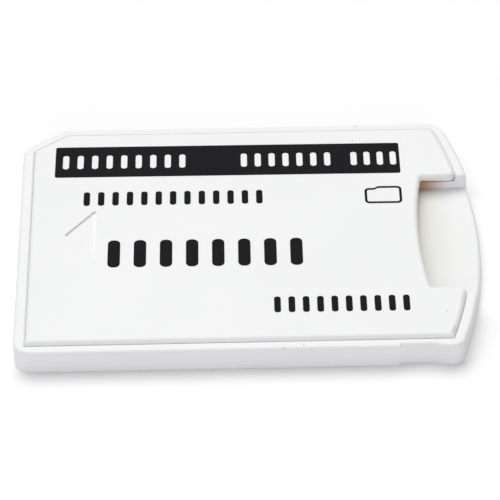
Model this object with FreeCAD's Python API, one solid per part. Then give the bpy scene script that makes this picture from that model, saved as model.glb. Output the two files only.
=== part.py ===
import FreeCAD, Part
import math
import os

os.makedirs("parts", exist_ok=True)

# Memory card adapter: a flat two-shell body that carries a fingernail-size memory card into a wider card slot.
# Sizes are in millimetres. X runs from the leading end to the tail end, Y across the body and Z up from the
# underside.

# Body outline
body_length = 30.1
body_width = 22.0
tail_radius = 32.4
lead_chamfer_length = 2.7
lead_chamfer_width = 2.0
chamfer_corner_radius = 1.0
lead_corner_radius = 1.2
tail_near_radius = 0.8
tail_far_radius = 1.6

# Heights
body_height = 1.9
rim_height = 1.7
floor_thickness = 0.35
board_thickness = 0.3
panel_thickness = 0.48

# Lower shell
rim_width = 0.75
wall_thickness = 1.35
rim_edge_radius = 0.25
rim_inner_chamfer = 0.1
base_edge_radius = 0.12
tail_block_length = 7.1
tail_floor_step = 0.03
recess_wall_slope = 0.05
recess_brow_radius = 0.25
recess_foot_radius = 0.3
seat_step_depth = 0.4
seat_step_height = 0.12

# Detent in the near side, measured from the tail end
detent_tail_setback = 3.7
detent_length = 2.2
detent_ramp = 0.7
detent_depth = 0.2

# Memory card that the adapter takes, and its channel
card_length = 15.0
card_width = 11.0
card_side_clearance = 0.05
card_tail_setback = 0.5
card_centre_y = -0.25

# Upper shell
panel_clearance = 0.02
panel_edge_radius = 0.28
panel_round_corner = 0.6
notch_depth = 4.05
notch_back_radius = 32.0
notch_overhang_far = 0.12
notch_overhang_near = 0.16
notch_mouth_radius = 0.45
notch_back_corner = 0.2
guide_rib_width = 0.6
card_stop_width = 0.6
card_stop_gap = 0.2

# Sunk arrow in the panel
arrow_setback = 3.0
arrow_length = 2.05
arrow_half_width = 2.5
arrow_depth = 0.14
arrow_centre_y = -0.06
arrow_corner_radius = 0.12

# Circuit board
board_clearance = 0.1
peg_radius = 0.4
peg_clearance = 0.05
peg_boss_radius = 0.8
peg_depth = 0.2
peg_side_setback = 2.9
peg_lead_setback = 6.4
peg_block_setback = 2.4

# Contacts for the console's slot, under the leading end
window_count = 10
window_pitch = 1.7
window_width = 1.1
window_length = 3.4
window_lead_setback = 1.7
pad_margin = 0.1
pad_thickness = 0.03

# Holder and sprung contacts for the memory card
holder_length = 5.5
holder_width = 9.3
holder_clearance = 0.05
holder_stop_setback = 0.5
groove_width = 0.6
groove_floor = 0.12
groove_end_wall = 0.6
contact_count = 8
contact_pitch = 1.1
contact_width = 0.45
contact_thickness = 0.1
contact_tail_length = 1.75
contact_tail_gap = 0.1
contact_drop_length = 0.4
contact_root_length = 1.05
contact_rise_length = 1.7
contact_rise = 0.22
contact_tip_length = 1.0
contact_tip_depth = 0.08

# Small parts on the board
resistor_count = 5
resistor_pitch = 1.4
chip_length = 1.0
chip_width = 0.5
chip_height = 0.3
chip_cap_length = 0.2
chip_cap_step = 0.03
chip_row_setback = 5.8
chip_row_near_y = -3.4
capacitor_scale = 1.5
capacitor_gap = 1.2

# Print on the panel, turned a little against the body as it was printed. Rows start at a distance from the
# leading end. The bar keeps to the far side with the upper row and the symbol under it, the large row keeps to
# the middle, and the lower row keeps to the near side.
ink_thickness = 0.02
print_turn = -0.4
bar_lead_setback = 2.16
bar_length = 23.03
bar_height = 3.11
bar_far_setback = 2.28
bar_corner_radius = 0.15
bar_mark_height = 1.4
bar_mark_width = 0.42
bar_mark_rise = 0.84
bar_row_starts = (0.5, 12.4, 19.75)
bar_row_ends = (8.7, 18.4, 22.8)
bar_row_counts = (9, 7, 4)
small_mark_width = 0.42
mark_end_share = 0.45
upper_row_start = 4.15
upper_row_length = 11.8
upper_row_bar_gap = 1.56
upper_row_height = 1.35
upper_row_count = 13
large_row_start = 5.85
large_row_length = 12.6
large_row_centre_y = -2.09
large_row_height = 2.6
large_mark_width = 0.8
large_row_count = 8
lower_row_start = 16.5
lower_row_length = 8.6
lower_row_near_setback = 3.16
lower_row_height = 1.45
lower_row_count = 10
symbol_start = 22.7
symbol_length = 2.45
symbol_bar_gap = 1.36
symbol_height = 1.7
symbol_line = 0.16
symbol_corner_radius = 0.3
symbol_step = 0.18
symbol_step_start = 0.65
symbol_step_length = 0.25

# How far a cutting shape runs past the faces that it cuts, and how near two places count as one
overcut = 1.0
nearness = 0.001

# Places that follow from the sizes
lead_x = -body_length / 2
tail_x = body_length / 2
far_y = body_width / 2
near_y = -body_width / 2
board_top = floor_thickness + board_thickness
card_floor = board_top + tail_floor_step
panel_seat = body_height - panel_thickness
channel_far_y = card_centre_y + card_width / 2 + card_side_clearance
channel_near_y = card_centre_y - card_width / 2 - card_side_clearance
card_stop_x = tail_x - card_tail_setback - card_length
tail_block_x = tail_x - tail_block_length
pocket_inset = wall_thickness
board_inset = wall_thickness + board_clearance
panel_inset = rim_width + panel_clearance
bar_near_y = far_y - bar_far_setback - bar_height
up = FreeCAD.Vector(0, 0, 1)


def point(x, y, z=0.0):
    return FreeCAD.Vector(x, y, z)


def block(x_low, x_high, y_low, y_high, z_low, z_high):
    """A box between two corners."""
    return Part.makeBox(x_high - x_low, y_high - y_low, z_high - z_low, point(x_low, y_low, z_low))


def prism(corners, z_low, z_high):
    """A closed outline of plan points, drawn up from one height to another."""
    loop = [point(x, y, z_low) for x, y in corners]
    face = Part.Face(Part.makePolygon(loop + loop[:1]))
    return face.extrude(up * (z_high - z_low))


def tail_line(inset, y):
    """X of the round tail end, moved inwards by the inset."""
    radius = tail_radius - inset
    return tail_x - tail_radius + math.sqrt(radius * radius - y * y)


def outline_corners(inset):
    """The five corners of the body outline: near lead, near tail, far tail, chamfer far, chamfer lead."""
    slope = math.hypot(lead_chamfer_length, lead_chamfer_width)
    out_x = -lead_chamfer_width / slope
    out_y = lead_chamfer_length / slope
    line = out_x * lead_x + out_y * (far_y - lead_chamfer_width) - inset
    left = lead_x + inset
    near = near_y + inset
    far = far_y - inset
    return [
        (left, near),
        (tail_line(inset, near), near),
        (tail_line(inset, far), far),
        ((line - out_y * far) / out_x, far),
        (left, (line - out_x * left) / out_y),
    ]


def round_uprights(solid, rounds):
    """Rounds the upright edges that stand on the given plan corners, each with its own radius."""
    for (x, y), radius in rounds:
        found = [e for e in solid.Edges if stands_on(e, x, y)]
        if found and radius > 0:
            solid = solid.makeFillet(radius, found)
    return solid


def stands_on(edge, x, y):
    """True for an upright edge over the plan point."""
    ends = [v.Point for v in edge.Vertexes]
    if len(ends) != 2 or abs(ends[0].z - ends[1].z) < nearness:
        return False
    return all(math.hypot(p.x - x, p.y - y) < nearness for p in ends)


def edges_at(solid, height):
    """The edges that lie at one height."""
    return [e for e in solid.Edges if all(abs(v.Point.z - height) < nearness for v in e.Vertexes)]


def outline_prism(inset, z_low, z_high, radii=(0, 0, 0, 0, 0)):
    """The body outline moved inwards and drawn up, with its upright corners rounded."""
    corners = outline_corners(inset)
    near_lead, near_tail, far_tail, chamfer_far, chamfer_lead = [point(x, y, z_low) for x, y in corners]
    apex = point(tail_line(inset, 0.0), 0.0, z_low)
    edges = [
        Part.makeLine(near_lead, near_tail),
        Part.Arc(near_tail, apex, far_tail).toShape(),
        Part.makeLine(far_tail, chamfer_far),
        Part.makeLine(chamfer_far, chamfer_lead),
        Part.makeLine(chamfer_lead, near_lead),
    ]
    solid = Part.Face(Part.Wire(edges)).extrude(up * (z_high - z_low))
    return round_uprights(solid, list(zip(corners, radii)))


def ramped_to_recess(solid):
    """The body with its rim brought down to the recess on both sides, outside the panel."""
    rise = rim_height - card_floor
    run = recess_wall_slope * (rise + overcut) / rise
    start = tail_block_x
    low = (channel_near_y, channel_far_y)
    high = (channel_near_y - run, channel_far_y + run)
    loop = [point(start, low[0], card_floor), point(start, low[1], card_floor),
            point(start, high[1], rim_height + overcut), point(start, high[0], rim_height + overcut)]
    space = Part.Face(Part.makePolygon(loop + loop[:1])).extrude(point(tail_block_length + overcut, 0))
    solid = solid.cut(space.cut(outline_prism(panel_inset, 0.0, rim_height + overcut)))
    feet = [(channel_near_y, card_floor), (channel_far_y, card_floor)]
    brows = [(channel_near_y - recess_wall_slope, rim_height), (channel_far_y + recess_wall_slope, rim_height)]
    for bends, radius in ((feet, recess_foot_radius), (brows, recess_brow_radius)):
        solid = solid.makeFillet(radius, [e for e in solid.Edges if any(runs_along(e, y, z) for y, z in bends)])
    return solid


def runs_along(edge, y, z):
    """True for an edge along X at one place across the body and one height."""
    return all(abs(v.Point.y - y) < nearness and abs(v.Point.z - z) < nearness for v in edge.Vertexes)


def top_outline(solid):
    """The edges of the body's top that stand over its base outline."""
    base = Part.makeCompound(edges_at(solid, 0.0))
    found = []
    for edge in solid.Edges:
        ends = [v.Point for v in edge.Vertexes]
        middle = edge.valueAt((edge.FirstParameter + edge.LastParameter) / 2)
        upright = math.hypot(ends[0].x - ends[-1].x, ends[0].y - ends[-1].y) < nearness
        aside = Part.Vertex(point(middle.x, middle.y)).distToShape(base)[0] > nearness
        if min(p.z for p in ends) > nearness and not upright and not aside:
            found.append(edge)
    return found


def outer_body():
    """The outside of the body up to the rim, with rounded top and base edges."""
    radii = (lead_corner_radius, tail_near_radius, tail_far_radius, chamfer_corner_radius, chamfer_corner_radius)
    solid = ramped_to_recess(outline_prism(0.0, 0.0, rim_height, radii))
    solid = solid.makeFillet(rim_edge_radius, top_outline(solid))
    return solid.makeFillet(base_edge_radius, edges_at(solid, 0.0))


def with_detent(solid):
    """The body with the shallow detent in its near side: a step towards the lead, a ramp towards the tail."""
    detent_end = tail_x - detent_tail_setback
    detent_start = detent_end - detent_length
    ramp_end = detent_end + detent_ramp
    zone = block(detent_start, ramp_end + detent_ramp / 2, near_y - overcut, near_y + overcut, -overcut,
                 body_height + overcut)
    sunk = solid.translated(point(0, detent_depth))
    ramp = solid.copy()
    ramp.rotate(point(ramp_end, near_y), up, -math.degrees(math.atan2(detent_depth, detent_ramp)))
    return solid.cut(zone.cut(sunk.fuse(ramp)))


def panel_corner_radii(margin):
    """Radii of the panel's upright corners, or of its bed in the lower shell with a margin round them."""
    radius = panel_round_corner + margin
    return (0, 0, radius, radius, 0)


def panel_bed():
    """The space for the panel, with its mouth opened out to break the rim's inner edge."""
    radii = panel_corner_radii(panel_clearance)
    solid = outline_prism(rim_width, panel_seat, body_height, radii)
    mouth_low = rim_height - rim_inner_chamfer
    wider = [radius + rim_inner_chamfer if radius else 0 for radius in radii]
    mouth = outline_prism(rim_width - rim_inner_chamfer, mouth_low, body_height, wider)
    return solid.fuse(mouth.makeChamfer(rim_inner_chamfer, edges_at(mouth, mouth_low)))


def peg_places():
    """Plan places of the four pegs that hold the board."""
    xs = (lead_x + peg_lead_setback, tail_block_x - peg_block_setback)
    ys = (near_y + peg_side_setback, far_y - peg_side_setback)
    return [(x, y) for x in xs for y in ys]


def window_centres():
    """Y of each contact window, evenly spaced about the middle of the body."""
    first = -window_pitch * (window_count - 1) / 2
    return [first + window_pitch * i for i in range(window_count)]


def contact_centres():
    """Y of each sprung contact, evenly spaced about the middle of the card."""
    first = card_centre_y - contact_pitch * (contact_count - 1) / 2
    return [first + contact_pitch * i for i in range(contact_count)]


def lower_shell():
    """Moulded tray with the rim, the tail block with the finger recess, and the contact windows."""
    solid = with_detent(outer_body())
    pocket = outline_prism(pocket_inset, floor_thickness, body_height)
    pocket = pocket.common(block(lead_x, tail_block_x, near_y, far_y, 0, body_height))
    channel = block(tail_block_x - overcut, tail_x + overcut, channel_near_y, channel_far_y, card_floor,
                    body_height)
    seat_step = block(tail_x - notch_depth, tail_x + overcut, channel_near_y - seat_step_depth,
                      channel_far_y + seat_step_depth, panel_seat - seat_step_height, panel_seat)
    seat_step = seat_step.common(outline_prism(panel_inset, 0.0, body_height))
    solid = solid.cut(panel_bed()).cut(pocket).cut(channel).cut(seat_step)
    window_low = lead_x + window_lead_setback
    for y in window_centres():
        window = block(window_low, window_low + window_length, y - window_width / 2, y + window_width / 2,
                       -overcut, board_top)
        solid = solid.cut(window)
    for x, y in peg_places():
        hole_low = point(x, y, floor_thickness - peg_depth)
        solid = solid.cut(Part.makeCylinder(peg_radius + peg_clearance, board_top, hole_low))
    return solid


def notch_cutter():
    """The notch in the panel's tail end, with a slightly hollow back edge."""
    low_y = channel_near_y + notch_overhang_near
    high_y = channel_far_y - notch_overhang_far
    back_x = tail_x - notch_depth
    centre_x = back_x + notch_back_radius

    def back(y):
        offset = y - card_centre_y
        return centre_x - math.sqrt(notch_back_radius * notch_back_radius - offset * offset)

    out_x = tail_x + overcut
    base = panel_seat - overcut
    low_back = point(back(low_y), low_y, base)
    high_back = point(back(high_y), high_y, base)
    edges = [
        Part.Arc(low_back, point(back_x, card_centre_y, base), high_back).toShape(),
        Part.makeLine(high_back, point(out_x, high_y, base)),
        Part.makeLine(point(out_x, high_y, base), point(out_x, low_y, base)),
        Part.makeLine(point(out_x, low_y, base), low_back),
    ]
    solid = Part.Face(Part.Wire(edges)).extrude(up * (body_height + overcut - base))
    corners = [(low_back.x, low_y), (high_back.x, high_y)]
    return round_uprights(solid, [(corner, notch_back_corner) for corner in corners]), low_y, high_y


def arrow_pocket():
    """The sunk arrow that points to the leading end."""
    tip_x = lead_x + arrow_setback
    base_x = tip_x + arrow_length
    corners = [
        (tip_x, arrow_centre_y),
        (base_x, arrow_centre_y - arrow_half_width),
        (base_x, arrow_centre_y + arrow_half_width),
    ]
    solid = prism(corners, body_height - arrow_depth, body_height + overcut)
    return round_uprights(solid, [(corner, arrow_corner_radius) for corner in corners])


def upper_shell():
    """Moulded panel with the notch and the arrow, and below it the card guides, card stop and pegs."""
    solid = outline_prism(panel_inset, panel_seat, body_height, panel_corner_radii(0.0))
    cutter, low_y, high_y = notch_cutter()
    solid = solid.cut(cutter)
    mouths = [(tail_line(panel_inset, y), y) for y in (low_y, high_y)]
    solid = round_uprights(solid, [(corner, notch_mouth_radius) for corner in mouths])
    solid = solid.makeFillet(panel_edge_radius, edges_at(solid, body_height))
    solid = solid.cut(arrow_pocket())
    rib_end = tail_block_x - board_clearance
    far_rib = block(card_stop_x - card_stop_width, rib_end, channel_far_y, channel_far_y + guide_rib_width,
                    board_top, panel_seat)
    near_rib = block(card_stop_x - card_stop_width, rib_end, channel_near_y - guide_rib_width, channel_near_y,
                     board_top, panel_seat)
    stop = block(card_stop_x - card_stop_width, card_stop_x, channel_near_y, channel_far_y,
                 board_top + card_stop_gap, panel_seat)
    solid = solid.fuse(far_rib).fuse(near_rib).fuse(stop)
    for x, y in peg_places():
        boss = Part.makeCylinder(peg_boss_radius, panel_seat - board_top, point(x, y, board_top))
        peg_low = floor_thickness - peg_depth
        peg = Part.makeCylinder(peg_radius, panel_seat - peg_low, point(x, y, peg_low))
        solid = solid.fuse(boss).fuse(peg)
    return solid.removeSplitter()


def holder_box():
    """The place of the contact holder in plan: low x, high x, low y, high y."""
    low_x = card_stop_x - holder_stop_setback
    return low_x, low_x + holder_length, card_centre_y - holder_width / 2, card_centre_y + holder_width / 2


def circuit_board():
    """Thin board on the floor of the lower shell, with an opening for the holder and a hole for each peg."""
    solid = outline_prism(board_inset, floor_thickness, board_top)
    solid = solid.common(block(lead_x, tail_block_x - board_clearance, near_y, far_y, 0, body_height))
    x_low, x_high, y_low, y_high = holder_box()
    gap = holder_clearance
    solid = solid.cut(block(x_low - gap, x_high + gap, y_low - gap, y_high + gap, 0, body_height))
    for x, y in peg_places():
        solid = solid.cut(Part.makeCylinder(peg_radius + peg_clearance, body_height, point(x, y)))
    return solid


def edge_contacts():
    """One gold-plated pad on the board's underside for each window."""
    low_x = lead_x + window_lead_setback + pad_margin
    high_x = lead_x + window_lead_setback + window_length - pad_margin
    half = window_width / 2 - pad_margin
    return [block(low_x, high_x, y - half, y + half, floor_thickness - pad_thickness, floor_thickness)
            for y in window_centres()]


def contact_holder():
    """Moulded holder in the board's opening, with an open groove under each contact."""
    x_low, x_high, y_low, y_high = holder_box()
    solid = block(x_low, x_high, y_low, y_high, floor_thickness, board_top)
    for y in contact_centres():
        groove = block(x_low - overcut, x_high - groove_end_wall, y - groove_width / 2, y + groove_width / 2,
                       floor_thickness + groove_floor, board_top + overcut)
        solid = solid.cut(groove)
    return solid


def contact_line():
    """The middle line of a sprung contact, as x and z: tail on the board, root in the groove, crest, tip."""
    half = contact_thickness / 2
    tail_z = board_top + half
    root_z = floor_thickness + groove_floor + half
    crest_z = board_top + contact_rise
    tip_z = board_top - contact_tip_depth
    drop_x = card_stop_x - holder_stop_setback + contact_tail_gap
    root_x = drop_x + contact_drop_length
    rise_x = root_x + contact_root_length
    crest_x = rise_x + contact_rise_length
    tip_x = crest_x + contact_tip_length
    tail_x_start = drop_x - contact_tail_length
    return [(tail_x_start, tail_z), (drop_x, tail_z), (root_x, root_z), (rise_x, root_z), (crest_x, crest_z),
            (tip_x, tip_z)]


def strip_outline(line, thickness):
    """The outline of a bent strip of even thickness about its middle line."""
    normals = []
    for (x0, z0), (x1, z1) in zip(line, line[1:]):
        run = math.hypot(x1 - x0, z1 - z0)
        normals.append(((z0 - z1) / run, (x1 - x0) / run))
    before = normals[:1] + normals
    after = normals + normals[-1:]
    top = []
    under = []
    for (x, z), (ax, az), (bx, bz) in zip(line, before, after):
        share = thickness / 2 / (1 + ax * bx + az * bz)
        top.append((x + (ax + bx) * share, z + (az + bz) * share))
        under.append((x - (ax + bx) * share, z - (az + bz) * share))
    return top + under[::-1]


def card_contacts():
    """The sprung contacts, side by side across the card's nose."""
    outline = strip_outline(contact_line(), contact_thickness)
    made = []
    for y in contact_centres():
        loop = [point(x, y - contact_width / 2, z) for x, z in outline]
        face = Part.Face(Part.makePolygon(loop + loop[:1]))
        made.append(face.extrude(point(0, contact_width)))
    return made


def chip(x, y, scale):
    """A small soldered part with a cap at each end, its length across the body."""
    length = chip_length * scale
    width = chip_width * scale
    step = chip_cap_step
    body = block(x - width / 2 + step, x + width / 2 - step, y - length / 2 + step, y + length / 2 - step,
                 board_top, board_top + chip_height * scale - step)
    for low in (y - length / 2, y + length / 2 - chip_cap_length):
        body = body.fuse(block(x - width / 2, x + width / 2, low, low + chip_cap_length,
                               board_top, board_top + chip_height * scale))
    return body


def resistor_places():
    """Plan places of the resistors, in a row beside the card stop."""
    x = card_stop_x - chip_row_setback
    return [(x, chip_row_near_y + resistor_pitch * i) for i in range(resistor_count)]


def rounded_plate(x_low, x_high, y_low, y_high, z_low, z_high, radius):
    """A plate with rounded upright corners."""
    solid = block(x_low, x_high, y_low, y_high, z_low, z_high)
    corners = [(x, y) for x in (x_low, x_high) for y in (y_low, y_high)]
    return round_uprights(solid, [(corner, radius) for corner in corners])


def mark_row(start, length, near, height, width, count, z_low, z_high):
    """A row of upright marks with round ends, evenly spaced."""
    pitch = (length - width) / (count - 1)
    lows = [start + pitch * i for i in range(count)]
    return [rounded_plate(low, low + width, near, near + height, z_low, z_high, width * mark_end_share)
            for low in lows]


def printed(solids):
    """Turns print about the middle of the body, as the print sits on the panel."""
    shape = solids[0] if len(solids) == 1 else Part.makeCompound(solids)
    shape = shape.copy()
    shape.rotate(point(0, 0), up, print_turn)
    return shape


def printed_row(start, length, near, height, width, count):
    """One printed row of marks on the panel."""
    return printed(mark_row(lead_x + start, length, near, height, width, count,
                            body_height, body_height + ink_thickness))


def printed_bar():
    """The long printed bar, with three rows of marks left open."""
    low_x = lead_x + bar_lead_setback
    bar = rounded_plate(low_x, low_x + bar_length, bar_near_y, bar_near_y + bar_height,
                        body_height, body_height + ink_thickness, bar_corner_radius)
    for start, end, count in zip(bar_row_starts, bar_row_ends, bar_row_counts):
        row = mark_row(low_x + start, end - start, bar_near_y + bar_mark_rise, bar_mark_height, bar_mark_width,
                       count, body_height - overcut, body_height + overcut)
        for mark in row:
            bar = bar.cut(mark)
    return printed([bar])


def symbol_plate(inset, z_low, z_high):
    """The plan of the printed card outline: a card on its side with a step in its far edge."""
    low_x = lead_x + symbol_start + inset
    high_x = lead_x + symbol_start + symbol_length - inset
    low_y = bar_near_y - symbol_bar_gap - symbol_height + inset
    high_y = bar_near_y - symbol_bar_gap - inset
    step_x = lead_x + symbol_start + symbol_step_start
    corners = [
        (low_x, low_y),
        (high_x, low_y),
        (high_x, high_y),
        (step_x + symbol_step_length, high_y),
        (step_x, high_y - symbol_step),
        (low_x, high_y - symbol_step),
    ]
    solid = prism(corners, z_low, z_high)
    rounded = corners[:3] + corners[5:]
    return round_uprights(solid, [(corner, symbol_corner_radius - inset) for corner in rounded])


def printed_card_outline():
    """A fine printed line in the shape of a memory card."""
    top = body_height + ink_thickness
    inside = symbol_plate(symbol_line, body_height - overcut, top + overcut)
    return printed([symbol_plate(0.0, body_height, top).cut(inside)])


def export(name, shape):
    shape.exportStep("parts/" + name + ".step")
    print(name, "solids", len(shape.Solids), "volume", round(shape.Volume, 4), "valid", shape.isValid())


export("lower_shell", lower_shell())
export("upper_shell", upper_shell())
export("circuit_board", circuit_board())
for number, pad in enumerate(edge_contacts(), 1):
    export("edge_contact_" + str(number), pad)
export("contact_holder", contact_holder())
for number, contact in enumerate(card_contacts(), 1):
    export("card_contact_" + str(number), contact)
for number, (chip_x, chip_y) in enumerate(resistor_places(), 1):
    export("resistor_" + str(number), chip(chip_x, chip_y, 1.0))
last_x, last_y = resistor_places()[-1]
export("capacitor_1", chip(last_x, last_y + capacitor_gap + chip_length, capacitor_scale))
export("printed_bar", printed_bar())
export("printed_upper_row", printed_row(upper_row_start, upper_row_length,
                                        bar_near_y - upper_row_bar_gap - upper_row_height,
                                        upper_row_height, small_mark_width, upper_row_count))
export("printed_large_row", printed_row(large_row_start, large_row_length,
                                        large_row_centre_y - large_row_height / 2,
                                        large_row_height, large_mark_width, large_row_count))
export("printed_lower_row", printed_row(lower_row_start, lower_row_length,
                                        near_y + lower_row_near_setback,
                                        lower_row_height, small_mark_width, lower_row_count))
export("printed_card_outline", printed_card_outline())
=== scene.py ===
# %% [markdown]
# # A memory card adapter in white plastic
#
# A memory card adapter is two thin moulded shells, snapped together round a small circuit board. A
# fingernail-size memory card slides into it from the tail end, and the adapter then goes into a wider slot.
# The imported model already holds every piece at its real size, in metres. So the first step is to load it as
# a fixed frame and never to move it. What follows adds the camera, the light, the finish of each piece, and
# the small soldered parts whose ends are of another material than their middles.

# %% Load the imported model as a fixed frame
import math

import bmesh
import bpy
from mathutils import Matrix, Vector


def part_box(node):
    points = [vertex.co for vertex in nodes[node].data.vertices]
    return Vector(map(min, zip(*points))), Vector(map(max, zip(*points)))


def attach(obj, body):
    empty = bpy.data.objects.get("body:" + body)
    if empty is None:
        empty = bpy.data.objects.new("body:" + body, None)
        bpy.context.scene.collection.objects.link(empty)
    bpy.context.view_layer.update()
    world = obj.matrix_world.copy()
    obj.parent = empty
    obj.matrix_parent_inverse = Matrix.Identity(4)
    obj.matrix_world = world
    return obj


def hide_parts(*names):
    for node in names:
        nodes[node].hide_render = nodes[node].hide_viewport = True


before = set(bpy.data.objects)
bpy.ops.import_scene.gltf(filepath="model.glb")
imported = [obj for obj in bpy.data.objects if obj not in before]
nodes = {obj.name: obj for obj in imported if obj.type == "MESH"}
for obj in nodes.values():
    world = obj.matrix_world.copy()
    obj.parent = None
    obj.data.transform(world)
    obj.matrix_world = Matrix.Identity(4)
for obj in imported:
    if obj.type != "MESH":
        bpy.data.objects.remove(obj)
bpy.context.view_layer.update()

mm = 0.001

# %% [markdown]
# ## The camera
#
# The photograph looks down on the adapter at about 42 degrees with a long lens, from almost straight in
# front. A camera can be aimed at a point with a constraint, but here its three axes are written out
# instead: where it looks back to, its right and its up. A small roll turns the last two. The distance and
# the focal length were found by fitting the outline of the 30 by 22 mm body to the photograph.

# %% Camera
image_width_pixels = 500
sensor_width = 36.0
focal_length_pixels = 2869
camera_elevation = math.radians(41.72)
camera_azimuth = math.radians(-0.93)
camera_roll = math.radians(-0.50)
camera_distance = 188.1 * mm
camera_offset_right = 0.013 * mm
camera_offset_up = 0.156 * mm
camera_clip_start = 1 * mm


def camera_axes():
    """The camera's right, up and backward directions."""
    back = Vector((math.sin(camera_azimuth) * math.cos(camera_elevation),
                   -math.cos(camera_azimuth) * math.cos(camera_elevation),
                   math.sin(camera_elevation)))
    level_right = Vector((math.cos(camera_azimuth), math.sin(camera_azimuth), 0.0))
    level_up = back.cross(level_right)
    right = math.cos(camera_roll) * level_right + math.sin(camera_roll) * level_up
    up = math.cos(camera_roll) * level_up - math.sin(camera_roll) * level_right
    return right, up, back


def make_camera():
    right, up, back = camera_axes()
    data = bpy.data.cameras.new("camera")
    data.sensor_width = sensor_width
    data.lens = focal_length_pixels / image_width_pixels * sensor_width
    data.clip_start = camera_clip_start
    camera = bpy.data.objects.new("camera", data)
    bpy.context.scene.collection.objects.link(camera)
    place = back * camera_distance + right * camera_offset_right + up * camera_offset_up
    turn = Matrix((right, up, back)).transposed().to_4x4()
    camera.matrix_world = Matrix.Translation(place) @ turn
    bpy.context.scene.camera = camera
    return camera


camera = make_camera()
print("lens", round(camera.data.lens, 1), "mm at", round(camera.location.length / mm, 1), "mm")

# %% [markdown]
# ## Colours and nodes
#
# Every colour below is written as an sRGB hex value, as a paint chart gives it, and one function turns it
# into the linear numbers that shaders use. One more function adds a shader node with its settings and
# links, so that each material reads as a short list of steps.

# %% Colour and node helpers
def linear(hex_colour):
    """An sRGB hex colour as linear red, green, blue and full alpha, by the curve of the sRGB standard."""
    parts = [int(hex_colour[i:i + 2], 16) / 255 for i in (1, 3, 5)]
    return tuple(c / 12.92 if c <= 0.04045 else ((c + 0.055) / 1.055) ** 2.4 for c in parts) + (1.0,)


def add(tree, kind, settings=None, **sockets):
    """Adds one node. Settings are its own properties. Sockets are values, or outputs or nodes to link in.
    Each is named as in Blender with _ for a space, or i and its number where several share a name."""
    node = tree.nodes.new("ShaderNode" + kind)
    for name, value in (settings or {}).items():
        setattr(node, name, value)
    for name, value in sockets.items():
        by_number = name[0] == "i" and name[1:].isdigit()
        socket = node.inputs[int(name[1:]) if by_number else name.replace("_", " ")]
        if isinstance(value, bpy.types.Node):
            value = value.outputs[0]
        if isinstance(value, bpy.types.NodeSocket):
            tree.links.new(value, socket)
        else:
            socket.default_value = value
    return node


def new_material(name):
    """An empty material and its node tree."""
    material = bpy.data.materials.new(name)
    material.use_nodes = True
    material.node_tree.nodes.clear()
    return material, material.node_tree


print("white #F5F5F5 is", [round(c, 3) for c in linear("#F5F5F5")])

# %% [markdown]
# ## The key lights
#
# The photograph is a product shot on white. Two broad soft lights hang behind the adapter, one towards each
# end, so that the near side is in soft shade and the shadow falls forwards. A third is weaker and lower. It
# stands past the leading end and draws the narrow shadow beside the tail. Area lamps would do, but a sun
# lamp with a wide angle gives the same softness evenly over the whole floor. The directions and strengths
# were fitted: the shadow's depth at some forty places follows from the light of each lamp alone.

# %% Key lights
key_elevation = math.radians(58)
key_softness = math.radians(50)
left_key_azimuth = math.radians(130)
left_key_strength = 0.86
right_key_azimuth = math.radians(80)
right_key_strength = 1.20
end_light_elevation = math.radians(35)
end_light_azimuth = math.radians(180)
end_light_strength = 0.35
end_light_softness = math.radians(60)


def make_sun(name, elevation, azimuth, strength, softness):
    """A sun lamp in the direction of one elevation and azimuth. Its softness is the angle that it fills."""
    data = bpy.data.lights.new(name, "SUN")
    data.energy = strength
    data.angle = softness
    towards = Vector((math.cos(azimuth) * math.cos(elevation),
                      math.sin(azimuth) * math.cos(elevation),
                      math.sin(elevation)))
    light = bpy.data.objects.new(name, data)
    light.rotation_mode = "QUATERNION"
    light.rotation_quaternion = towards.to_track_quat("Z", "Y")
    bpy.context.scene.collection.objects.link(light)
    return light


left_key = make_sun("left_key", key_elevation, left_key_azimuth, left_key_strength, key_softness)
right_key = make_sun("right_key", key_elevation, right_key_azimuth, right_key_strength, key_softness)
end_light = make_sun("end_light", end_light_elevation, end_light_azimuth, end_light_strength,
                     end_light_softness)
for light in (left_key, right_key, end_light):
    print(light.name, "from", [round(c, 2) for c in light.rotation_quaternion @ Vector((0, 0, 1))])

# %% [markdown]
# ## The fill light
#
# A white card stands low in front of the adapter, as in a studio. It lifts the near side and the walls that
# face the camera. It stands so low that it hardly reaches the floor, and the shadow keeps its depth. Its
# light has a faint violet cast, which the photograph shows on the near side alone.

# %% Fill light
fill_elevation = math.radians(12)
fill_azimuth = math.radians(-90)
fill_strength = 1.08
fill_softness = math.radians(50)
fill_colour = "#FAF8FF"

fill_light = make_sun("fill_light", fill_elevation, fill_azimuth, fill_strength, fill_softness)
fill_light.data.color = linear(fill_colour)[:3]
print("fill light", fill_light.data.energy)

# %% [markdown]
# ## The white room
#
# White walls all round give the rest of the light. The camera and the reflections see the world at full
# white, while as a source of light it is weaker, so that it and the lamps together come to about 0.9 on a
# surface that faces up. The reflections add most of the rest, so a colour renders nearly as it is written.

# %% World
world_strength = 0.21


def make_world():
    """White where the camera or a reflection sees it, and softer as a source of light."""
    world = bpy.data.worlds.new("studio_white")
    bpy.context.scene.world = world
    world.use_nodes = True
    tree = world.node_tree
    tree.nodes.clear()
    path = add(tree, "LightPath")
    seen = add(tree, "Math", {"operation": "MAXIMUM"}, i0=path.outputs["Is Camera Ray"],
               i1=path.outputs["Is Glossy Ray"])
    seen = add(tree, "Math", {"operation": "MAXIMUM"}, i0=seen, i1=path.outputs["Is Transmission Ray"])
    strength = add(tree, "MapRange", None, Value=seen, To_Min=world_strength, To_Max=1.0)
    background = add(tree, "Background", None, Color=linear("#FFFFFF"), Strength=strength)
    add(tree, "OutputWorld", None, Surface=background)


make_world()
print("world light", world_strength)

# %% [markdown]
# ## The floor
#
# The adapter lies on white paper. To the camera the paper is a little whiter than paper can be, so that it
# burns out to pure white as in the photograph and only the shadow stays. The light that bounces off it is
# that of plain white paper.

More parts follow.
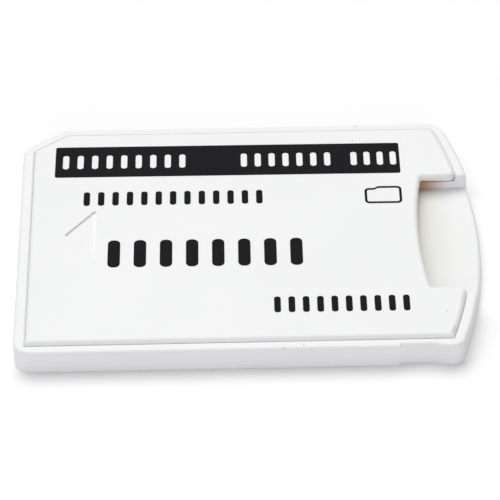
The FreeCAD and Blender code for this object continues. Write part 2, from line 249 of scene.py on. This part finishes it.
# %% Floor
floor_half_width = 1.5
floor_white = "#F8F8F8"
floor_lift = 1.11


def make_floor():
    bm = bmesh.new()
    bmesh.ops.create_grid(bm, x_segments=1, y_segments=1, size=floor_half_width)
    mesh = bpy.data.meshes.new("floor")
    bm.to_mesh(mesh)
    bm.free()
    floor = bpy.data.objects.new("floor", mesh)
    bpy.context.scene.collection.objects.link(floor)
    material, tree = new_material("white_paper")
    path = add(tree, "LightPath")
    bounced = add(tree, "BsdfDiffuse", None, Color=linear(floor_white))
    shown = add(tree, "BsdfDiffuse", None, Color=(floor_lift, floor_lift, floor_lift, 1.0))
    mixed = add(tree, "MixShader", None, Fac=path.outputs["Is Camera Ray"], i1=bounced, i2=shown)
    add(tree, "OutputMaterial", None, Surface=mixed)
    mesh.materials.append(material)
    return floor


floor = make_floor()
bpy.context.scene.view_settings.view_transform = "Standard"
print(floor.name, round(2 * floor_half_width, 1), "m wide")

# %% [markdown]
# ## Places on the object
#
# Every finish below is a pattern in the model's own space, measured in metres from the middle of the
# underside. Such a pattern is a few nodes in a row: a distance or a noise, and then a map that turns it
# into 0 and 1. Three of these rows are used again and again, so each is written once: soft round spots,
# even bands across an axis, and a bump of noise.

# %% Pattern helpers
def metres(*millimetres):
    """A place or a size given in millimetres, as a vector in metres."""
    return Vector(millimetres) * mm


smooth = {"interpolation_type": "SMOOTHSTEP"}
colours = {"data_type": "RGBA"}
band_edge = 0.05
noise_detail = 2.0


def spots(tree, where, places, full, none):
    """1 within one distance of any of the places and 0 beyond another."""
    seen = 0.0
    for place in places:
        distance = add(tree, "VectorMath", {"operation": "DISTANCE"}, i0=where, i1=place)
        near = add(tree, "MapRange", smooth, Value=distance.outputs["Value"], From_Min=none, From_Max=full)
        seen = add(tree, "Math", {"operation": "MAXIMUM"}, i0=seen, i1=near)
    return seen


def bands(tree, value, centre, pitch, width):
    """1 on even bands with soft edges: one lies at the centre, and the others at each pitch from it."""
    shifted = add(tree, "Math", {"operation": "SUBTRACT"}, i0=value, i1=centre)
    aside = add(tree, "Math", {"operation": "PINGPONG"}, i0=shifted, i1=pitch / 2)
    return add(tree, "MapRange", smooth, Value=aside, From_Min=(0.5 + band_edge) * width,
               From_Max=(0.5 - band_edge) * width)


def noise_bump(tree, where, size, height, under=None):
    """A bump of one noise pattern: size is the width of its grains, and height how far they stand up."""
    noise = add(tree, "TexNoise", None, Vector=where, Scale=1 / size, Detail=noise_detail)
    more = {} if under is None else {"Normal": under}
    return add(tree, "Bump", None, Height=noise.outputs["Fac"], Distance=height, Strength=1.0, **more)


print("three pattern helpers")

# %% [markdown]
# ## White moulded ABS
#
# The shells are injection-moulded ABS, a hard opaque plastic with a satin face. The mould was polished and
# then lightly blasted, so the gloss is broken by a very fine grain. Real grain is about 0.02 mm, which is
# smaller than a pixel here, so it is drawn at 0.09 mm, and shallow. Slow sinks of some millimetres, where
# the plastic cooled, bend the soft reflections a little. ABS has an IOR of about 1.53.
#
# Marks of use are on it: a few dark specks in the plastic, each about 0.1 mm wide where it is dark. Painted
# light is added too. A warm brown painted shade lies in the corner of the recess, and a dark painted shadow
# lies in the seam under the panel's edge. The floor of the recess next to the panel is a faint yellow, partly
# aged plastic and partly painted shade. All three are spots of colour about one place, squashed to the shape
# of what they lie on. The warm shade and the yellowed floor also end below the panel's top.
# Underneath, the pins that pushed the shell out of its mould leave shallow round marks, 2 mm wide.

# %% White ABS
shell_white = "#F5F5F5"
shell_white_greyer = "#F2F3F2"
shell_roughness = (0.38, 0.46)
shell_ior = 1.53
# Painted warm shade for the corner of the recess.
painted_warm_shade_brown = "#C99A70"
# Painted shadow for the seam under the panel's edge.
painted_seam_shadow_brown = "#5E4E44"
speck_grey = "#8E8E90"
grain_size = 0.09 * mm
grain_height = 0.0010 * mm
sink_size = 7.0 * mm
sink_height = 0.010 * mm
sink_detail = 3.0
# Where the painted warm shade lies: the far corner of the recess, under the panel.
painted_warm_shade_place = metres(10.9, 5.33, 1.1)
painted_warm_shade_squash = Vector((1.0, 5.0, 2.4))
painted_warm_shade_full = 0.6 * mm
painted_warm_shade_reach = 2.6 * mm
# The painted warm shade and the yellowed, partly shaded floor end below the panel's top.
shade_and_yellowing_full_below = 1.45 * mm
shade_and_yellowing_top = 1.60 * mm
# Where the painted shadow line lies: the seam under the panel's edge.
painted_seam_shadow_place = metres(12.1, 5.31, 1.30)
painted_seam_shadow_squash = Vector((1.0, 8.0, 20.0))
painted_seam_shadow_full = 1.2 * mm
painted_seam_shadow_reach = 2.0 * mm
painted_seam_shadow_strength = 0.75
# The recess floor next to the panel: a faint yellow of aged plastic, partly painted shade.
yellowed_and_shaded_white = "#EBEBE3"
yellowed_and_shaded_place = metres(11.1, 1.0, 0.0)
yellowed_and_shaded_squash = Vector((1.0, 0.35, 0.0))
yellowed_and_shaded_full = 0.6 * mm
yellowed_and_shaded_reach = 3.0 * mm
yellowed_and_shaded_from = 0.3 * mm
yellowed_and_shaded_full_above = 0.5 * mm
speck_places = [metres(12.29, -7.98, 1.9), metres(7.41, 10.74, 1.7), metres(7.13, 9.0, 1.9),
                metres(-3.09, 10.08, 1.9), metres(1.9, -10.9, 1.64), metres(3.14, -10.6, 1.7)]
speck_radius = 0.08 * mm
pin_mark_radius = 1.0 * mm
pin_mark_edge = 0.02 * mm
pin_mark_depth = 0.02 * mm
pin_mark_side = 8.2 * mm
pin_lead_setback = 7.2 * mm
pin_tail_setback = 3.0 * mm


def pin_places():
    """Where the mould's pins pushed against the underside."""
    low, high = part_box("lower_shell")
    xs = (low.x + pin_lead_setback, 0.0, high.x - pin_tail_setback)
    return [(x, y, 0.0) for x in xs for y in (-pin_mark_side, pin_mark_side)]


def squashed_spot(tree, where, place, squash, full, none):
    """A spot about one place that is squashed along each axis, so that it keeps to a wall or a seam."""
    scaled = add(tree, "VectorMath", {"operation": "MULTIPLY"}, i0=where, i1=squash)
    return spots(tree, scaled, [place * squash], full, none)


def make_shell_material():
    material, tree = new_material("moulded_white_abs")
    where = add(tree, "TexCoord").outputs["Object"]
    height = add(tree, "SeparateXYZ", None, Vector=where).outputs["Z"]
    cloud = add(tree, "TexNoise", None, Vector=where, Scale=1 / sink_size, Detail=sink_detail)
    tint = add(tree, "Mix", colours, Factor=cloud, i6=linear(shell_white), i7=linear(shell_white_greyer))
    below_panel = add(tree, "MapRange", smooth, Value=height, From_Min=shade_and_yellowing_top, From_Max=shade_and_yellowing_full_below)
    # Faint yellow of aged plastic on the recess floor, partly painted shade next to the panel's edge.
    in_recess = add(tree, "MapRange", smooth, Value=height, From_Min=yellowed_and_shaded_from, From_Max=yellowed_and_shaded_full_above)
    in_recess = add(tree, "Math", {"operation": "MULTIPLY"}, i0=in_recess, i1=below_panel)
    yellowed_and_shaded = squashed_spot(tree, where, yellowed_and_shaded_place, yellowed_and_shaded_squash, yellowed_and_shaded_full, yellowed_and_shaded_reach)
    yellowed_and_shaded = add(tree, "Math", {"operation": "MULTIPLY"}, i0=yellowed_and_shaded, i1=in_recess)
    tint = add(tree, "Mix", colours, Factor=yellowed_and_shaded, i6=tint.outputs[2], i7=linear(yellowed_and_shaded_white))
    # Painted warm shade in the corner of the recess.
    painted_warm_shade = squashed_spot(tree, where, painted_warm_shade_place, painted_warm_shade_squash, painted_warm_shade_full, painted_warm_shade_reach)
    painted_warm_shade = add(tree, "Math", {"operation": "MULTIPLY"}, i0=painted_warm_shade, i1=below_panel)
    tint = add(tree, "Mix", colours, Factor=painted_warm_shade, i6=tint.outputs[2], i7=linear(painted_warm_shade_brown))
    # Painted shadow line in the seam under the panel's edge.
    painted_seam_shadow = squashed_spot(tree, where, painted_seam_shadow_place, painted_seam_shadow_squash, painted_seam_shadow_full, painted_seam_shadow_reach)
    painted_seam_shadow = add(tree, "Math", {"operation": "MULTIPLY"}, i0=painted_seam_shadow, i1=painted_seam_shadow_strength)
    tint = add(tree, "Mix", colours, Factor=painted_seam_shadow, i6=tint.outputs[2], i7=linear(painted_seam_shadow_brown))
    specks = spots(tree, where, speck_places, 0.0, speck_radius)
    tint = add(tree, "Mix", colours, Factor=specks, i6=tint.outputs[2], i7=linear(speck_grey))
    pins = spots(tree, where, pin_places(), pin_mark_radius, pin_mark_radius + pin_mark_edge)
    pins = add(tree, "Bump", {"invert": True}, Height=pins, Distance=pin_mark_depth, Strength=1.0)
    sink = noise_bump(tree, where, sink_size, sink_height, pins)
    grain = noise_bump(tree, where, grain_size, grain_height, sink)
    rough = add(tree, "MapRange", None, Value=cloud, To_Min=shell_roughness[0], To_Max=shell_roughness[1])
    plastic = add(tree, "BsdfPrincipled", None, Base_Color=tint.outputs[2], Roughness=rough, IOR=shell_ior,
                  Normal=grain)
    add(tree, "OutputMaterial", None, Surface=plastic)
    return material


shell_plastic = make_shell_material()
print("made", shell_plastic.name, "with", len(shell_plastic.node_tree.nodes), "nodes")

# %% [markdown]
# ## Printing ink
#
# The marks are pad-printed: a soft pad picks black ink off an etched plate and presses it on the panel. The
# film is a few hundredths of a millimetre thick and matt, so it throws back little of the white room and
# stays black. The pad leaves it slightly uneven, with a few pinholes that show the plastic as grey.

# %% Black printing ink
ink_black = "#161618"
pinhole_grey = "#4A4A4C"
pinhole_spacing = 0.35 * mm
pinhole_full = 0.02
pinhole_reach = 0.09
ink_wave_size = 0.15 * mm
ink_wave_height = 0.001 * mm
ink_roughness = 0.62
ink_ior = 1.45
ink_gloss = 0.05


def make_ink_material():
    material, tree = new_material("pad_printed_black_ink")
    where = add(tree, "TexCoord").outputs["Object"]
    cells = add(tree, "TexVoronoi", None, Vector=where, Scale=1 / pinhole_spacing)
    holes = add(tree, "MapRange", smooth, Value=cells.outputs["Distance"], From_Min=pinhole_reach,
                From_Max=pinhole_full)
    tint = add(tree, "Mix", colours, Factor=holes, i6=linear(ink_black), i7=linear(pinhole_grey))
    uneven = noise_bump(tree, where, ink_wave_size, ink_wave_height)
    ink = add(tree, "BsdfPrincipled", None, Base_Color=tint.outputs[2], Roughness=ink_roughness,
              IOR=ink_ior, Specular_IOR_Level=ink_gloss, Normal=uneven)
    add(tree, "OutputMaterial", None, Surface=ink)
    return material


printing_ink = make_ink_material()
print("made", printing_ink.name)

# %% [markdown]
# ## Circuit board
#
# The board is glass-fibre laminate, 0.3 mm thick, with copper tracks etched on it and green solder resist
# printed over both faces. The resist is a glossy lacquer: it is paler green where a track lies under it,
# and it stands up there by the copper's 0.03 mm. The cut edges have no resist and show the tan laminate.
# Which is which follows from the way a face points, so the edge colour is mixed in by the normal's z.

# %% Green board
resist_green = "#12502B"
resist_green_over_copper = "#2A7A3D"
laminate_tan = "#B9A878"
resist_roughness = 0.22
laminate_roughness = 0.7
board_ior = 1.52
edge_full_slope = 0.3
edge_least_slope = 0.6
track_width = 0.25 * mm
track_height = 0.03 * mm
pad_low, pad_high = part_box("edge_contact_1")
pad_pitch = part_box("edge_contact_2")[0].y - pad_low.y
contact_low, contact_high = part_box("card_contact_1")
contact_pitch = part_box("card_contact_2")[0].y - contact_low.y
track_turn_x = (pad_high.x + contact_low.x) / 2


def make_board_material():
    material, tree = new_material("green_solder_resist_on_laminate")
    where = add(tree, "TexCoord").outputs["Object"]
    parts = add(tree, "SeparateXYZ", None, Vector=where)
    pad_tracks = bands(tree, parts.outputs["Y"], (pad_low.y + pad_high.y) / 2, pad_pitch, track_width)
    contact_tracks = bands(tree, parts.outputs["Y"], (contact_low.y + contact_high.y) / 2, contact_pitch,
                           track_width)
    past_turn = add(tree, "MapRange", smooth, Value=parts.outputs["X"], From_Min=track_turn_x,
                    From_Max=track_turn_x + track_width)
    tracks = add(tree, "Mix", None, Factor=past_turn, A=pad_tracks, B=contact_tracks)
    facing = add(tree, "SeparateXYZ", None, Vector=add(tree, "NewGeometry").outputs["Normal"])
    upright = add(tree, "Math", {"operation": "ABSOLUTE"}, i0=facing.outputs["Z"])
    edge = add(tree, "MapRange", smooth, Value=upright, From_Min=edge_least_slope, From_Max=edge_full_slope)
    resist = add(tree, "Mix", colours, Factor=tracks, i6=linear(resist_green),
                 i7=linear(resist_green_over_copper))
    tint = add(tree, "Mix", colours, Factor=edge, i6=resist.outputs[2], i7=linear(laminate_tan))
    rough = add(tree, "MapRange", None, Value=edge, To_Min=resist_roughness, To_Max=laminate_roughness)
    raised = add(tree, "Bump", None, Height=tracks, Distance=track_height, Strength=1.0)
    board = add(tree, "BsdfPrincipled", None, Base_Color=tint.outputs[2], Roughness=rough, IOR=board_ior,
                Normal=raised)
    add(tree, "OutputMaterial", None, Surface=board)
    return material


board_finish = make_board_material()
print("tracks turn at x =", round(track_turn_x / mm, 2), "mm")

# %% [markdown]
# ## Gold plating
#
# The pads and the sprung contacts are plated with a thin film of gold, which never tarnishes. Each time a
# card or the console's slot slides over them, it leaves wipe marks along x. So the noise that makes the
# roughness uneven is stretched along x by a Mapping node, as a brush of a few hundredths of a millimetre
# would draw it. A metal keeps the default IOR, and its colour is the colour of what it throws back.

# %% Gold plating
gold_yellow = "#E4C076"
gold_worn = "#C9A665"
gold_roughness = (0.16, 0.38)
wipe_width = 0.06 * mm
wipe_stretch = 0.04
wipe_depth = 0.002 * mm


def make_gold_material():
    material, tree = new_material("gold_plated_contact")
    where = add(tree, "TexCoord").outputs["Object"]
    along = add(tree, "Mapping", None, Vector=where, Scale=(wipe_stretch, 1.0, 1.0))
    wipes = add(tree, "TexNoise", None, Vector=along, Scale=1 / wipe_width, Detail=noise_detail)
    tint = add(tree, "Mix", colours, Factor=wipes, i6=linear(gold_yellow), i7=linear(gold_worn))
    rough = add(tree, "MapRange", None, Value=wipes, To_Min=gold_roughness[0], To_Max=gold_roughness[1])
    scored = add(tree, "Bump", None, Height=wipes, Distance=wipe_depth, Strength=1.0)
    gold = add(tree, "BsdfPrincipled", None, Base_Color=tint.outputs[2], Metallic=1.0, Roughness=rough,
               Normal=scored)
    add(tree, "OutputMaterial", None, Surface=gold)
    return material


gold_plating = make_gold_material()
print("made", gold_plating.name)

# %% [markdown]
# ## Contact holder
#
# The holder of the sprung contacts is moulded from black liquid-crystal polymer, which flows into very thin
# walls and stands the heat of soldering. Short glass fibres in it show as fine pale flow lines along the
# mould's filling, here along y.

# %% Black polymer
holder_black = "#17171A"
fibre_grey = "#3B3B40"
fibre_width = 0.05 * mm
fibre_stretch = 0.12
fibre_height = 0.002 * mm
fibre_detail = 3.0
fibre_least_noise = 0.5
fibre_full_noise = 0.75
holder_roughness = 0.52
holder_ior = 1.6


def make_holder_material():
    material, tree = new_material("black_glass_filled_polymer")
    where = add(tree, "TexCoord").outputs["Object"]
    along = add(tree, "Mapping", None, Vector=where, Scale=(1.0, fibre_stretch, 1.0))
    fibres = add(tree, "TexNoise", None, Vector=along, Scale=1 / fibre_width, Detail=fibre_detail)
    seen = add(tree, "MapRange", smooth, Value=fibres, From_Min=fibre_least_noise,
               From_Max=fibre_full_noise)
    tint = add(tree, "Mix", colours, Factor=seen, i6=linear(holder_black), i7=linear(fibre_grey))
    lines = add(tree, "Bump", None, Height=fibres, Distance=fibre_height, Strength=1.0)
    polymer = add(tree, "BsdfPrincipled", None, Base_Color=tint.outputs[2], Roughness=holder_roughness,
                  IOR=holder_ior, Normal=lines)
    add(tree, "OutputMaterial", None, Surface=polymer)
    return material


holder_plastic = make_holder_material()
print("made", holder_plastic.name)

# %% [markdown]
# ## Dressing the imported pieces
#
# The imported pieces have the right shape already, so each keeps its mesh and only gets a finish in its
# material slots. A short table says which finish goes with the start of which name.

# %% Dress the nodes
finishes = {
    "lower_shell": shell_plastic,
    "upper_shell": shell_plastic,
    "printed": printing_ink,
    "circuit_board": board_finish,
    "edge_contact": gold_plating,
    "card_contact": gold_plating,
    "contact_holder": holder_plastic,
}


def dress(name, material):
    """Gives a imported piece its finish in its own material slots."""
    for slot in nodes[name].material_slots:
        slot.material = material


for name in sorted(nodes):
    for start, finish in finishes.items():
        if name.startswith(start):
            dress(name, finish)
print("dressed", sum(1 for name in nodes if name.startswith(tuple(finishes))), "of", len(nodes))

# %% [markdown]
# ## Ceramic bodies and tinned ends
#
# The small soldered parts are bars of ceramic with a cap of tin at each end. A resistor is white alumina
# with a black glaze over its top, and the capacitor is tan all through. Tin is a soft grey metal that dulls
# in air, and the solder that holds the caps is as bright, because it froze from the melt.

# %% Ceramic and tin
alumina_white = "#E4E2DC"
glaze_black = "#1B1C1F"
capacitor_tan = "#A98A66"
tin_grey = "#C9CACC"
ceramic_roughness = 0.6
glaze_roughness = 0.3
ceramic_ior = 1.7
tin_roughness = (0.25, 0.5)
glaze_thickness = 0.05 * mm
glaze_edge = 0.005 * mm
mottle_size = 0.05 * mm
mottle_height = 0.002 * mm
mottle_shade = (0.9, 1.1)
solder_wave_size = 0.11 * mm
solder_wave_height = 0.004 * mm


def make_ceramic_material(name, side_colour, top_colour, glaze_z):
    """Ceramic of one colour, with a glaze of another colour above one height."""
    material, tree = new_material(name)
    where = add(tree, "TexCoord").outputs["Object"]
    height = add(tree, "SeparateXYZ", None, Vector=where).outputs["Z"]
    glazed = add(tree, "MapRange", smooth, Value=height, From_Min=glaze_z, From_Max=glaze_z + glaze_edge)
    tint = add(tree, "Mix", colours, Factor=glazed, i6=linear(side_colour), i7=linear(top_colour))
    mottle = add(tree, "TexNoise", None, Vector=where, Scale=1 / mottle_size, Detail=noise_detail)
    shade = add(tree, "MapRange", None, Value=mottle, To_Min=mottle_shade[0], To_Max=mottle_shade[1])
    tint = add(tree, "VectorMath", {"operation": "SCALE"}, i0=tint.outputs[2], Scale=shade)
    rough = add(tree, "MapRange", None, Value=glazed, To_Min=ceramic_roughness, To_Max=glaze_roughness)
    uneven = noise_bump(tree, where, mottle_size, mottle_height)
    ceramic = add(tree, "BsdfPrincipled", None, Base_Color=tint, Roughness=rough, IOR=ceramic_ior,
                  Normal=uneven)
    add(tree, "OutputMaterial", None, Surface=ceramic)
    return material


def make_tin_material():
    material, tree = new_material("tinned_cap_and_solder")
    where = add(tree, "TexCoord").outputs["Object"]
    dull = add(tree, "TexNoise", None, Vector=where, Scale=1 / solder_wave_size, Detail=noise_detail)
    rough = add(tree, "MapRange", None, Value=dull, To_Min=tin_roughness[0], To_Max=tin_roughness[1])
    uneven = noise_bump(tree, where, solder_wave_size, solder_wave_height)
    metal = add(tree, "BsdfPrincipled", None, Base_Color=linear(tin_grey), Metallic=1.0, Roughness=rough,
                Normal=uneven)
    add(tree, "OutputMaterial", None, Surface=metal)
    return material


resistor_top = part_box("resistor_1")[1].z
glazed_alumina = make_ceramic_material("alumina_with_black_glaze", alumina_white, glaze_black,
                                       resistor_top - glaze_thickness)
tan_ceramic = make_ceramic_material("tan_capacitor_ceramic", capacitor_tan, capacitor_tan, resistor_top)
tin = make_tin_material()
print("made", glazed_alumina.name + ",", tan_ceramic.name, "and", tin.name)

# %% [markdown]
# ## Modelling the soldered parts
#
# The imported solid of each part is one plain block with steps, because only its size matters there. Here it
# is made again from a rounded ceramic bar, two rounded caps that wrap its ends, and a wedge of solder that
# climbs each cap from the board. All start as a cube, which is stretched to size and bevelled. A wedge is a
# cube whose outer top edge has been pulled down.

# %% Soldered parts
ceramic_slot = 0
tin_slot = 1
bar_rounding = 0.02 * mm
cap_length = 0.2 * mm
cap_side_step = 0.03 * mm
cap_top_step = 0.02 * mm
cap_rounding = 0.03 * mm
solder_reach = 0.14 * mm
solder_share_of_height = 0.7
solder_slope = 0.85
solder_rounding = 0.012 * mm
rounding_segments = 2
circular_profile = 0.5


def add_block(bm, low, high, material_index, rounding, outer=None):
    """Adds a rounded block to the mesh. With outer given, its top slopes down to that side in y."""
    block = bmesh.new()
    bmesh.ops.create_cube(block, size=1.0)
    size = high - low
    bmesh.ops.scale(block, vec=size, verts=block.verts)
    bmesh.ops.translate(block, vec=(low + high) / 2, verts=block.verts)
    if outer is not None:
        edge = [v for v in block.verts if abs(v.co.y - outer) < rounding and v.co.z > (low.z + high.z) / 2]
        bmesh.ops.translate(block, vec=(0.0, 0.0, (low.z - high.z) * solder_slope), verts=edge)
    bmesh.ops.bevel(block, geom=block.edges, offset=rounding, affect="EDGES", segments=rounding_segments,
                    profile=circular_profile, material=-1)
    for face in block.faces:
        face.material_index = material_index
        face.smooth = True
    mesh = bpy.data.meshes.new("block")
    block.to_mesh(mesh)
    block.free()
    bm.from_mesh(mesh)
    bpy.data.meshes.remove(mesh)


def make_soldered_part(name, ceramic):
    low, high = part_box(name)
    bar_low = low + Vector((cap_side_step, cap_side_step, 0.0))
    bar_high = high - Vector((cap_side_step, cap_side_step, cap_top_step))
    solder_top = low.z + solder_share_of_height * (high.z - low.z)
    bm = bmesh.new()
    add_block(bm, bar_low, bar_high, ceramic_slot, bar_rounding)
    for side, end in ((-1, low.y), (1, high.y)):
        inner = end - side * cap_length
        outer = end + side * solder_reach
        cap_low = Vector((low.x, min(end, inner), low.z))
        cap_high = Vector((high.x, max(end, inner), high.z))
        add_block(bm, cap_low, cap_high, tin_slot, cap_rounding)
        solder_low = Vector((low.x, min(end, outer), low.z))
        solder_high = Vector((high.x, max(end, outer), solder_top))
        add_block(bm, solder_low, solder_high, tin_slot, solder_rounding, outer)
    mesh = bpy.data.meshes.new(name + "_soldered")
    bm.to_mesh(mesh)
    bm.free()
    part = bpy.data.objects.new(name + "_soldered", mesh)
    bpy.context.scene.collection.objects.link(part)
    mesh.materials.append(ceramic)
    mesh.materials.append(tin)
    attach(part, "root")
    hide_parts(name)
    return part


for name in sorted(nodes):
    if name.startswith("resistor"):
        make_soldered_part(name, glazed_alumina)
capacitor = make_soldered_part("capacitor_1", tan_ceramic)
print("capacitor", [round(side / mm, 2) for side in capacitor.dimensions], "mm")
